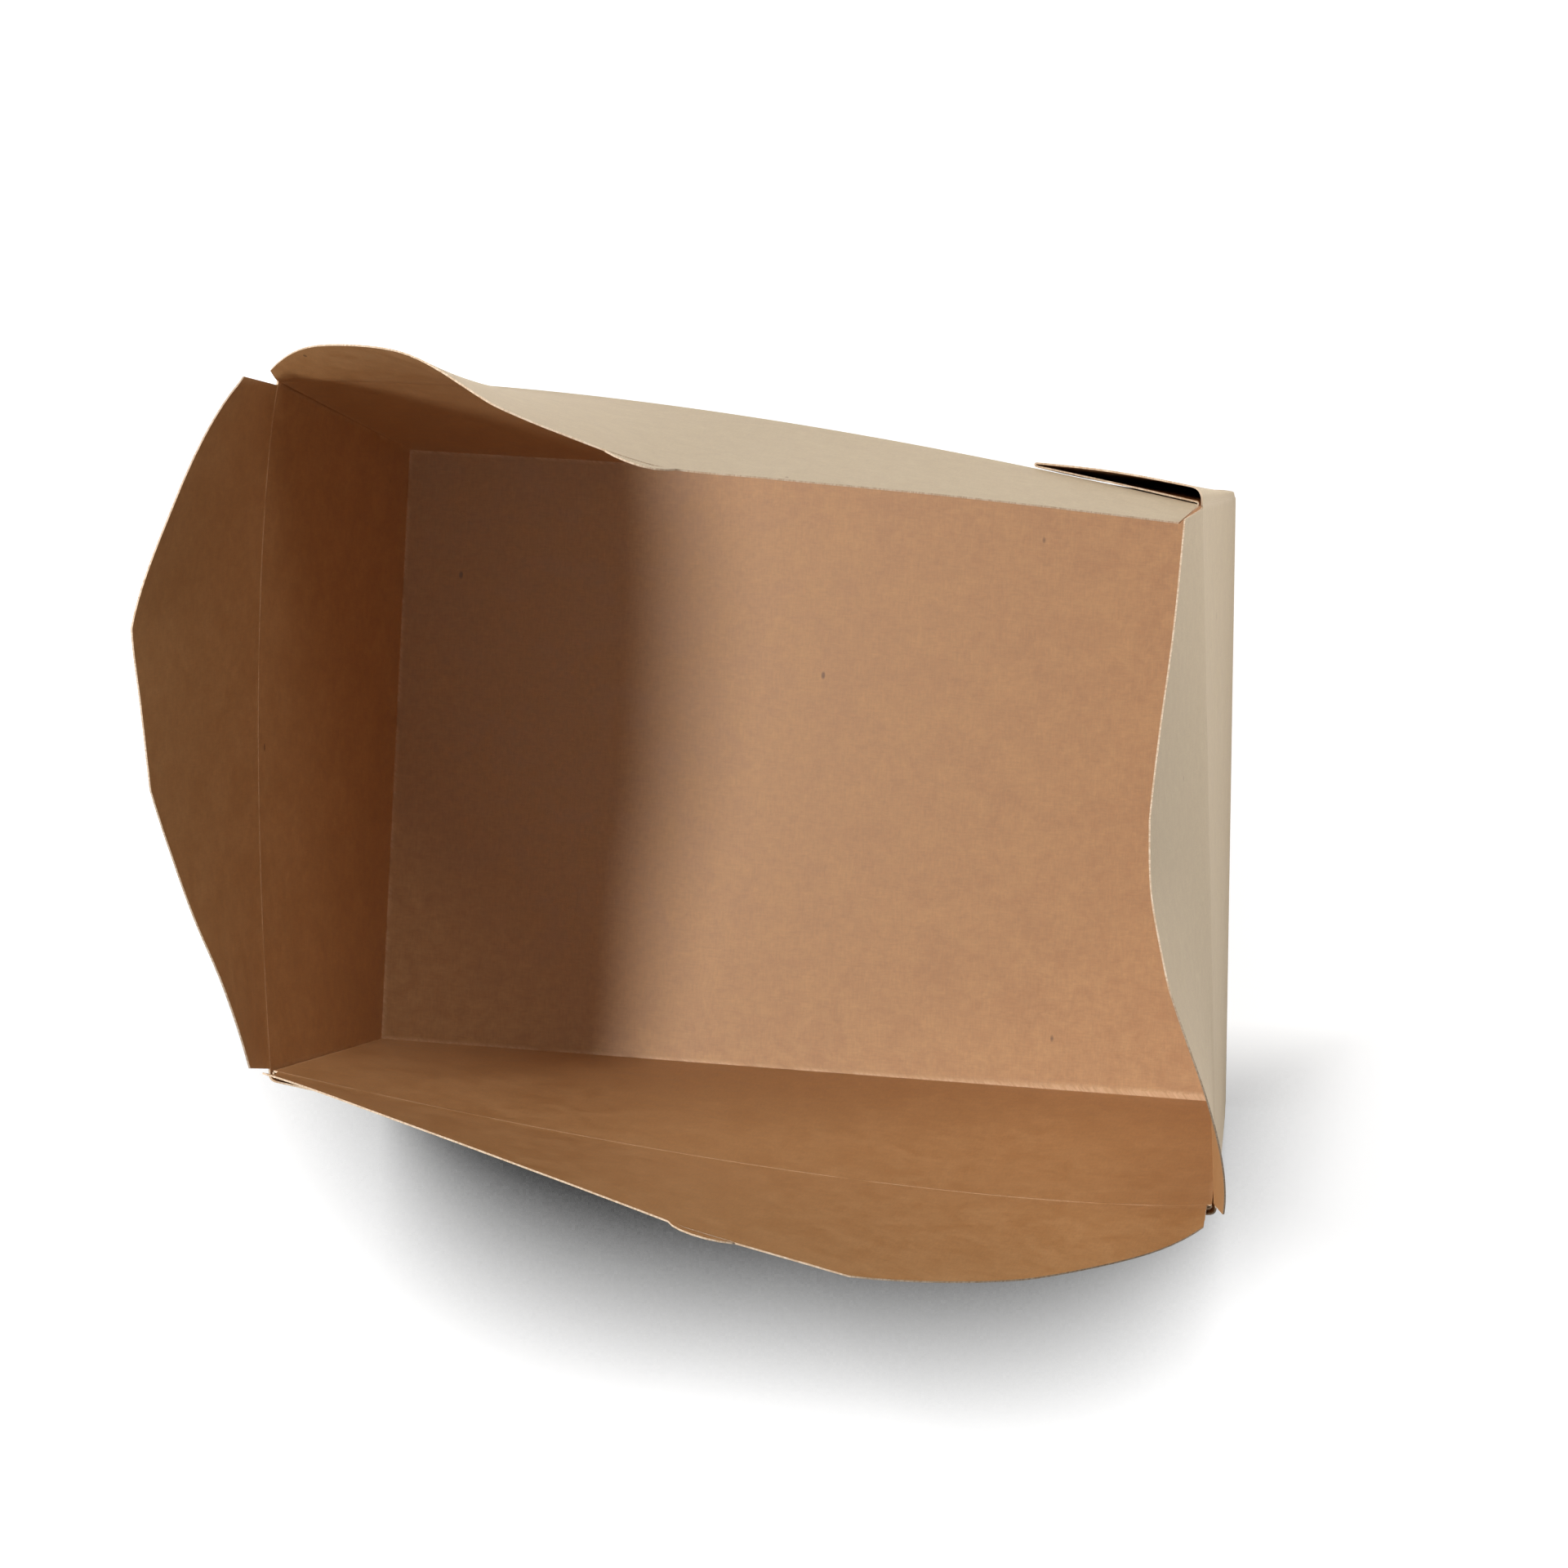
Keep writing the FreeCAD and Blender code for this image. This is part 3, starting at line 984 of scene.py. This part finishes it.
def pulp_group() -> bpy.types.ShaderNodeTree:
    """Cloudy formation of the pulp, as every kraft surface shows it.

    Returns:
        A group from a place on the blank to a cloud, a fibre and a grain value.
    """
    group = new_group("pulp", [("Place", "NodeSocketVector", None)],
                      [("Cloud", "NodeSocketFloat"), ("Fibre", "NodeSocketFloat"),
                       ("Grain", "NodeSocketFloat")])
    wires = Wiring(group)
    place = group.nodes["in"].outputs["Place"]
    out = group.nodes["out"]
    apart = wires.stretch(place, scale=(1, 1.25, 1), move=(3.1, 1.7, 0))
    along = wires.stretch(place, scale=(FIBRE_DRAW, 1, 1), turn=0.25)
    across = wires.stretch(place, scale=(1, FIBRE_DRAW, 1), move=(9, 4, 0), turn=-0.5)
    coarse = wires.noise(place, scale=105, detail=3.0, roughness=0.6, distortion=0.5)
    fine = wires.noise(apart, scale=330, detail=3.0, roughness=0.6, distortion=0.4)
    cloud = wires.math("ADD", wires.math("MULTIPLY", coarse, COARSE_SHARE),
                       wires.math("MULTIPLY", fine, 1 - COARSE_SHARE))
    lengthwise = wires.noise(along, scale=2600, detail=2.0, roughness=0.6, distortion=0.6)
    crosswise = wires.noise(across, scale=2300, detail=2.0, roughness=0.6, distortion=0.6)
    fibre = wires.math("MULTIPLY", wires.math("ADD", lengthwise, crosswise), 0.5)
    grain = wires.noise(place, scale=5200, detail=1.0, roughness=0.5)
    wires.join(cloud, out.inputs["Cloud"])
    wires.join(fibre, out.inputs["Fibre"])
    wires.join(grain, out.inputs["Grain"])
    return group


def fleck_group() -> bpy.types.ShaderNodeTree:
    """Sparse dark slivers of bark in the pulp.

    Returns:
        A group from a place and a share to a mask.
    """
    group = new_group("bark_flecks", [("Place", "NodeSocketVector", None),
                                      ("Share", "NodeSocketFloat", 0.5)],
                      [("Mask", "NodeSocketFloat")])
    wires = Wiring(group)
    place, share = (group.nodes["in"].outputs[n] for n in ("Place", "Share"))
    bent = wires.stretch(place, scale=(1.0, 0.55, 1), move=(0.2, 0.1, 0), turn=0.7)
    cells = wires.node("ShaderNodeTexVoronoi", feature="F1")
    cells.inputs["Scale"].default_value = FLECK_CELLS
    cells.inputs["Randomness"].default_value = 1.0
    wires.join(bent, cells.inputs["Vector"])
    dot = wires.remap(cells.outputs["Distance"], *FLECK_RIM, 1.0, 0.0)
    apart = wires.node("ShaderNodeSeparateColor")
    wires.join(cells.outputs["Color"], apart.inputs["Color"])
    chosen = wires.math("LESS_THAN", apart.outputs["Red"], share)
    wires.join(wires.math("MULTIPLY", dot, chosen), group.nodes["out"].inputs["Mask"])
    return group


def crease_group() -> bpy.types.ShaderNodeTree:
    """Paler colour along the scored creases: some rubbed fibre, and a painted highlight along the
    crease bead.

    Returns:
        A group from a place and the crease's share to a mask of rubbed fibre and painted highlight,
        and a height.
    """
    group = new_group("crease_wear_and_highlight", [("Place", "NodeSocketVector", None),
                                      ("Crease", "NodeSocketFloat", 0.0)],
                      [("Wear_and_highlight", "NodeSocketFloat"), ("Height", "NodeSocketFloat")])
    wires = Wiring(group)
    place, crease = (group.nodes["in"].outputs[n] for n in ("Place", "Crease"))
    patchy = wires.remap(wires.noise(place, scale=90, detail=2.0), 0.3, 0.5)
    frayed = wires.remap(wires.noise(place, scale=1400, detail=2.0), 0.3, 0.7, 0.35, 1.0)
    line = wires.math("POWER", crease, 1.4)
    wear_and_highlight = wires.math("MULTIPLY", wires.math("MULTIPLY", line, patchy), frayed)
    wires.join(wear_and_highlight, group.nodes["out"].inputs["Wear_and_highlight"])
    wires.join(wires.math("MULTIPLY", crease, frayed), group.nodes["out"].inputs["Height"])
    return group


def linear(red: int, green: int, blue: int) -> tuple[float, float, float, float]:
    """An sRGB colour of 0 to 255 as a linear RGBA tuple."""
    def one(value: int) -> float:
        share = value / 255
        return share / 12.92 if share <= 0.04045 else ((share + 0.055) / 1.055) ** 2.4
    return (one(red), one(green), one(blue), 1.0)


# Height of the pulp's relief in metres, what makes it up, and how dark a fleck is
BOARD_RELIEF = 0.00006
EDGE_RELIEF = 0.00008
FIBRE_RELIEF, GRAIN_RELIEF = 0.7, 0.3
FLECK_DEPTH = 0.75

# The parts of the pulp's values that a finish spreads over its own range
CLOUD_SPAN = (0.35, 0.65)
FIBRE_SPAN = (0.36, 0.64)


@dataclass(frozen=True)
class KraftFinish:
    """A kraft surface: its colours and how strongly its pulp shows."""

    name: str
    dark: tuple[float, float, float, float]
    light: tuple[float, float, float, float]
    rub_and_highlight: tuple[float, float, float, float]
    cloud: tuple[float, float]
    fibre: float
    flecks: float
    fleck_colour: tuple[float, float, float, float]
    roughness: tuple[float, float]
    specular: float
    bump: float
    gloss: float

    def build(self, groups: dict[str, bpy.types.ShaderNodeTree]) -> bpy.types.Material:
        """Makes the material.

        Args:
            groups: The shared node groups by name.

        Returns:
            The material, a Principled shader over the blank's own layout.
        """
        material = bpy.data.materials.new(self.name)
        material.use_nodes = True
        tree = material.node_tree
        wires = Wiring(tree)
        shader = tree.nodes["Principled BSDF"]
        place = wires.node("ShaderNodeUVMap", uv_map="blank").outputs["UV"]
        crease = wires.node("ShaderNodeAttribute", attribute_name="crease").outputs["Fac"]
        pulp = wires.place_group(groups["pulp"], Place=place)
        flecks = wires.place_group(groups["flecks"], Place=place, Share=self.flecks)
        wear_and_highlight = wires.place_group(groups["crease"], Place=place, Crease=crease)
        base = wires.tint(wires.remap(pulp.outputs["Cloud"], *self.cloud), self.dark, self.light)
        fibres = wires.remap(pulp.outputs["Fibre"], *FIBRE_SPAN, 1 - self.fibre, 1 + self.fibre)
        shade = wires.node("ShaderNodeCombineColor")
        for channel in ("Red", "Green", "Blue"):
            wires.join(fibres, shade.inputs[channel])
        toned = wires.tint(1.0, base, shade.outputs["Color"], "MULTIPLY")
        flecked = wires.tint(wires.math("MULTIPLY", flecks.outputs["Mask"], FLECK_DEPTH), toned,
                             self.fleck_colour)
        # The creases are tinted paler: rubbed fibre, and a painted highlight along the crease bead.
        rub_and_highlight = wires.tint(wear_and_highlight.outputs["Wear_and_highlight"], flecked, self.rub_and_highlight)
        wires.join(rub_and_highlight, shader.inputs["Base Color"])
        wires.join(wires.remap(pulp.outputs["Cloud"], *CLOUD_SPAN, *self.roughness),
                   shader.inputs["Roughness"])
        shader.inputs["Specular IOR Level"].default_value = self.specular
        shader.inputs["Coat Weight"].default_value = self.gloss
        shader.inputs["Coat Roughness"].default_value = self.roughness[0]
        height = wires.math("ADD", wires.math("MULTIPLY", pulp.outputs["Fibre"], FIBRE_RELIEF),
                            wires.math("MULTIPLY", pulp.outputs["Grain"], GRAIN_RELIEF))
        bump = wires.node("ShaderNodeBump")
        bump.inputs["Strength"].default_value = self.bump
        bump.inputs["Distance"].default_value = BOARD_RELIEF
        wires.join(height, bump.inputs["Height"])
        wires.join(bump.outputs["Normal"], shader.inputs["Normal"])
        return material


@dataclass(frozen=True)
class CutFinish:
    """The board's cut edge: pressed plies of paler fibre."""

    name: str
    dark: tuple[float, float, float, float]
    light: tuple[float, float, float, float]
    ply_span: tuple[float, float] = (0.4, 0.6)
    grain_span: tuple[float, float] = (0.3, 0.7)
    roughness: tuple[float, float] = (0.75, 0.95)
    specular: float = 0.2
    bump: float = 0.5

    def build(self, groups: dict[str, bpy.types.ShaderNodeTree]) -> bpy.types.Material:
        """Makes the material.

        Args:
            groups: The shared node groups by name.

        Returns:
            The material.
        """
        material = bpy.data.materials.new(self.name)
        material.use_nodes = True
        tree = material.node_tree
        wires = Wiring(tree)
        shader = tree.nodes["Principled BSDF"]
        place = wires.node("ShaderNodeUVMap", uv_map="blank").outputs["UV"]
        pulp = wires.place_group(groups["pulp"], Place=place)
        plies = wires.remap(pulp.outputs["Fibre"], *self.ply_span)
        wires.join(wires.tint(plies, self.dark, self.light), shader.inputs["Base Color"])
        wires.join(wires.remap(pulp.outputs["Grain"], *self.grain_span, *self.roughness),
                   shader.inputs["Roughness"])
        shader.inputs["Specular IOR Level"].default_value = self.specular
        bump = wires.node("ShaderNodeBump")
        bump.inputs["Strength"].default_value = self.bump
        bump.inputs["Distance"].default_value = EDGE_RELIEF
        wires.join(pulp.outputs["Grain"], bump.inputs["Height"])
        wires.join(bump.outputs["Normal"], shader.inputs["Normal"])
        return material


# Each finish's paler crease colour stands for rubbed fibre and a painted highlight along the crease
# bead.
INSIDE = KraftFinish(
    name="kraft_inside", dark=linear(177, 130, 82), light=linear(191, 146, 98),
    rub_and_highlight=linear(222, 184, 144), cloud=(0.36, 0.66), fibre=0.07, flecks=0.045,
    fleck_colour=linear(96, 62, 38), roughness=(0.46, 0.6), specular=0.42, bump=0.35, gloss=0.55)
OUTSIDE = KraftFinish(
    name="kraft_outside", dark=linear(203, 181, 150), light=linear(213, 194, 165),
    rub_and_highlight=linear(226, 208, 184), cloud=(0.32, 0.7), fibre=0.035, flecks=0.02,
    fleck_colour=linear(150, 120, 92), roughness=(0.6, 0.75), specular=0.3, bump=0.25, gloss=0.0)
CUT = CutFinish(name="kraft_cut_edge", dark=linear(212, 182, 150), light=linear(238, 216, 190))


@dataclass
class Finishes:
    """Makes the board's materials once and dresses the pieces with them."""

    materials: list[bpy.types.Material] = field(default_factory=list)

    def build(self) -> None:
        """Makes the node groups and the three materials, in the order of Face."""
        groups = {"pulp": pulp_group(), "flecks": fleck_group(), "crease": crease_group()}
        self.materials = [finish.build(groups) for finish in (INSIDE, OUTSIDE, CUT)]

    def dress(self, piece: bpy.types.Object) -> None:
        """Gives a piece its inside, outside and cut edge."""
        for material in self.materials:
            piece.data.materials.append(material)


# Studio


@dataclass
class AreaLight:
    """A soft lamp: where it stands, what it points at, its width and height, and its strength."""

    name: str
    place: tuple[float, float, float]
    aim: tuple[float, float, float]
    size: tuple[float, float]
    power: float
    colour: tuple[float, float, float] = (1.0, 1.0, 1.0)

    def build(self) -> bpy.types.Object:
        """Makes the lamp."""
        data = bpy.data.lights.new(self.name, "AREA")
        data.shape = "ELLIPSE"
        data.size, data.size_y = self.size
        data.energy = self.power
        data.color = self.colour
        lamp = bpy.data.objects.new(self.name, data)
        lamp.location = self.place
        look = Vector(self.aim) - Vector(self.place)
        lamp.rotation_euler = look.to_track_quat("-Z", "Y").to_euler()
        bpy.context.scene.collection.objects.link(lamp)
        return lamp


@dataclass
class Studio:
    """Floor, backdrop, lamps and the camera of the photograph's view, in metres and radians.

    The floor's shade is painted shade: ambient occlusion from what stands near it towards
    shade_from, within shade_reach, darkens the floor's colour and glow. It is full below the first
    value of shade_share and gone above the second, and it is painted out between the two places
    along y in shade_front, so that the floor behind is painted fully lit.
    """

    tilt_across: float = math.radians(10.47)
    tilt_up: float = math.radians(3.48)
    roll: float = math.radians(2.73)
    distance: float = 3.0
    target: tuple[float, float] = (-6.19 * MM, -2.90 * MM)
    lens: float = 295.0
    sensor: float = 36.0
    sight: float = 20.0
    fill: float = 0.03
    floor_reach: float = 6.0
    floor_white: float = 0.86
    floor_seen: float = 0.34
    floor_glow: float = 0.9
    floor_roughness: float = 0.9
    floor_specular: float = 0.1
    shade_from: tuple[float, float, float] = (0.12, 0.8, 0.6)
    shade_reach: float = 0.1
    shade_share: tuple[float, float] = (0.42, 0.79)
    shade_front: tuple[float, float] = (-0.092, -0.052)

    def build(self) -> None:
        """Makes everything around the object."""
        self.add_floor()
        self.add_world()
        for lamp in (
            AreaLight("key_lamp", place=(-0.74, 0.02, 1.22), aim=(0, 0, 0), size=(0.2, 0.2),
                      power=13.9),
            AreaLight("top_lamp", place=(0.10, 1.30, 1.15), aim=(0, 0, 0.08), size=(0.8, 0.6),
                      power=11.8),
            AreaLight("right_lamp", place=(0.36, 0.12, 0.05), aim=(0.1, 0.02, 0.06),
                      size=(0.34, 0.1), power=0.28),
        ):
            lamp.build()
        self.add_camera()
        view = bpy.context.scene.view_settings
        view.view_transform = "Standard"

    def add_camera(self) -> None:
        """Stands the camera where the photograph was taken from."""
        toward = Vector((math.tan(self.tilt_across), math.tan(self.tilt_up), 1)).normalized()
        right = Vector((0, 1, 0)).cross(toward).normalized()
        above = toward.cross(right)
        across = right * math.cos(self.roll) + above * math.sin(self.roll)
        over = above * math.cos(self.roll) - right * math.sin(self.roll)
        data = bpy.data.cameras.new("photo_camera")
        data.lens = self.lens
        data.sensor_width = self.sensor
        data.clip_end = self.sight
        camera = bpy.data.objects.new("photo_camera", data)
        aim = across * self.target[0] + over * self.target[1]
        turn = Matrix((across, over, toward)).transposed()
        camera.matrix_world = Matrix.Translation(aim + toward * self.distance) @ turn.to_4x4()
        bpy.context.scene.collection.objects.link(camera)
        bpy.context.scene.camera = camera

    def add_floor(self) -> None:
        """Lays a pale floor that keeps the lamps' soft shadows, with a painted shade near the
        object.
        """
        half = self.floor_reach
        mesh = bpy.data.meshes.new("floor")
        mesh.from_pydata([(-half, -half, 0), (half, -half, 0), (half, half, 0), (-half, half, 0)],
                         [], [(0, 1, 2, 3)])
        floor = bpy.data.objects.new("floor", mesh)
        bpy.context.scene.collection.objects.link(floor)
        material = bpy.data.materials.new("floor_white")
        material.use_nodes = True
        tree = material.node_tree
        wires = Wiring(tree)
        shader = tree.nodes["Principled BSDF"]
        # Painted shade: ambient occlusion towards shade_from darkens the floor's colour and glow
        # near the object.
        shade = wires.node("ShaderNodeAmbientOcclusion", samples=32)
        shade.inputs["Distance"].default_value = self.shade_reach
        lean = wires.node("ShaderNodeCombineXYZ")
        for axis, share in zip("XYZ", self.shade_from):
            lean.inputs[axis].default_value = share
        wires.join(lean.outputs["Vector"], shade.inputs["Normal"])
        where = wires.node("ShaderNodeSeparateXYZ")
        wires.join(wires.node("ShaderNodeNewGeometry").outputs["Position"], where.inputs["Vector"])
        # Painted light: behind the shade_front line along y the painted shade is taken away, so the
        # floor there stays fully lit.
        behind = wires.remap(where.outputs["Y"], *self.shade_front)
        open_share = wires.math("MAXIMUM", behind,
                                wires.remap(shade.outputs["AO"], *self.shade_share))
        rays = wires.node("ShaderNodeLightPath")
        paint = wires.remap(rays.outputs["Is Camera Ray"], 0.0, 1.0, self.floor_white,
                            self.floor_seen)
        white = wires.math("MULTIPLY", open_share, paint)
        grey = wires.node("ShaderNodeCombineColor")
        for channel in ("Red", "Green", "Blue"):
            wires.join(white, grey.inputs[channel])
        wires.join(grey.outputs["Color"], shader.inputs["Base Color"])
        shader.inputs["Roughness"].default_value = self.floor_roughness
        shader.inputs["Specular IOR Level"].default_value = self.floor_specular
        seen = self.seen(wires, rays)
        glow = wires.node("ShaderNodeEmission")
        glowing = wires.math("MULTIPLY", wires.math("MULTIPLY", seen, self.floor_glow), open_share)
        wires.join(glowing, glow.inputs["Strength"])
        total = wires.node("ShaderNodeAddShader")
        wires.join(shader.outputs["BSDF"], total.inputs[0])
        wires.join(glow.outputs["Emission"], total.inputs[1])
        wires.join(total.outputs["Shader"], tree.nodes["Material Output"].inputs["Surface"])
        mesh.materials.append(material)

    def add_world(self) -> None:
        """Surrounds the scene with a plain pale light that the camera sees as white."""
        world = bpy.data.worlds.new("studio")
        bpy.context.scene.world = world
        world.use_nodes = True
        tree = world.node_tree
        wires = Wiring(tree)
        background = tree.nodes["Background"]
        background.inputs["Color"].default_value = (1, 1, 1, 1)
        seen = self.seen(wires, wires.node("ShaderNodeLightPath"))
        wires.join(wires.remap(seen, 0.0, 1.0, self.fill, 1.0), background.inputs["Strength"])

    @staticmethod
    def seen(wires: Wiring, rays: bpy.types.Node) -> bpy.types.NodeSocket:
        """Where the camera looks, straight or through a gloss or clear surface."""
        through_gloss = wires.math("MAXIMUM", rays.outputs["Is Glossy Ray"],
                                   rays.outputs["Is Transmission Ray"])
        return wires.math("MAXIMUM", rays.outputs["Is Camera Ray"], through_gloss)


# The whole box


@dataclass
class TakeawayBox:
    """The tray and its four flaps."""

    tray: Tray = field(default_factory=Tray)
    flaps: tuple[Flap, ...] = (
        LockFlap(Side.FRONT, LONG_OUTLINE, FRONT_LEANS, 7.0),
        LockFlap(Side.BACK, BACK_OUTLINE, BACK_LEANS, -8.0),
        Flap(Side.LEFT, END_OUTLINE, LEFT_LEANS, 7.5),
        TuckFlap(Side.RIGHT, TUCK_OUTLINE, RIGHT_LEANS, 1.0),
    )

    def build(self, finishes: Finishes) -> None:
        """Makes and dresses every piece.

        Args:
            finishes: The board's materials, already made.
        """
        for maker in (self.tray, *self.flaps):
            piece = maker.build()
            finishes.dress(piece)
            log.info("%s: %d points, %d faces", piece.name, len(piece.data.vertices),
                     len(piece.data.polygons))


def main() -> None:
    """Builds the studio and the dressed box."""
    logging.basicConfig(level=logging.INFO, format="%(name)s: %(message)s")
    finishes = Finishes()
    finishes.build()
    Studio().build()
    TakeawayBox().build(finishes)
    bpy.context.view_layer.update()


if __name__ == "__main__":
    main()
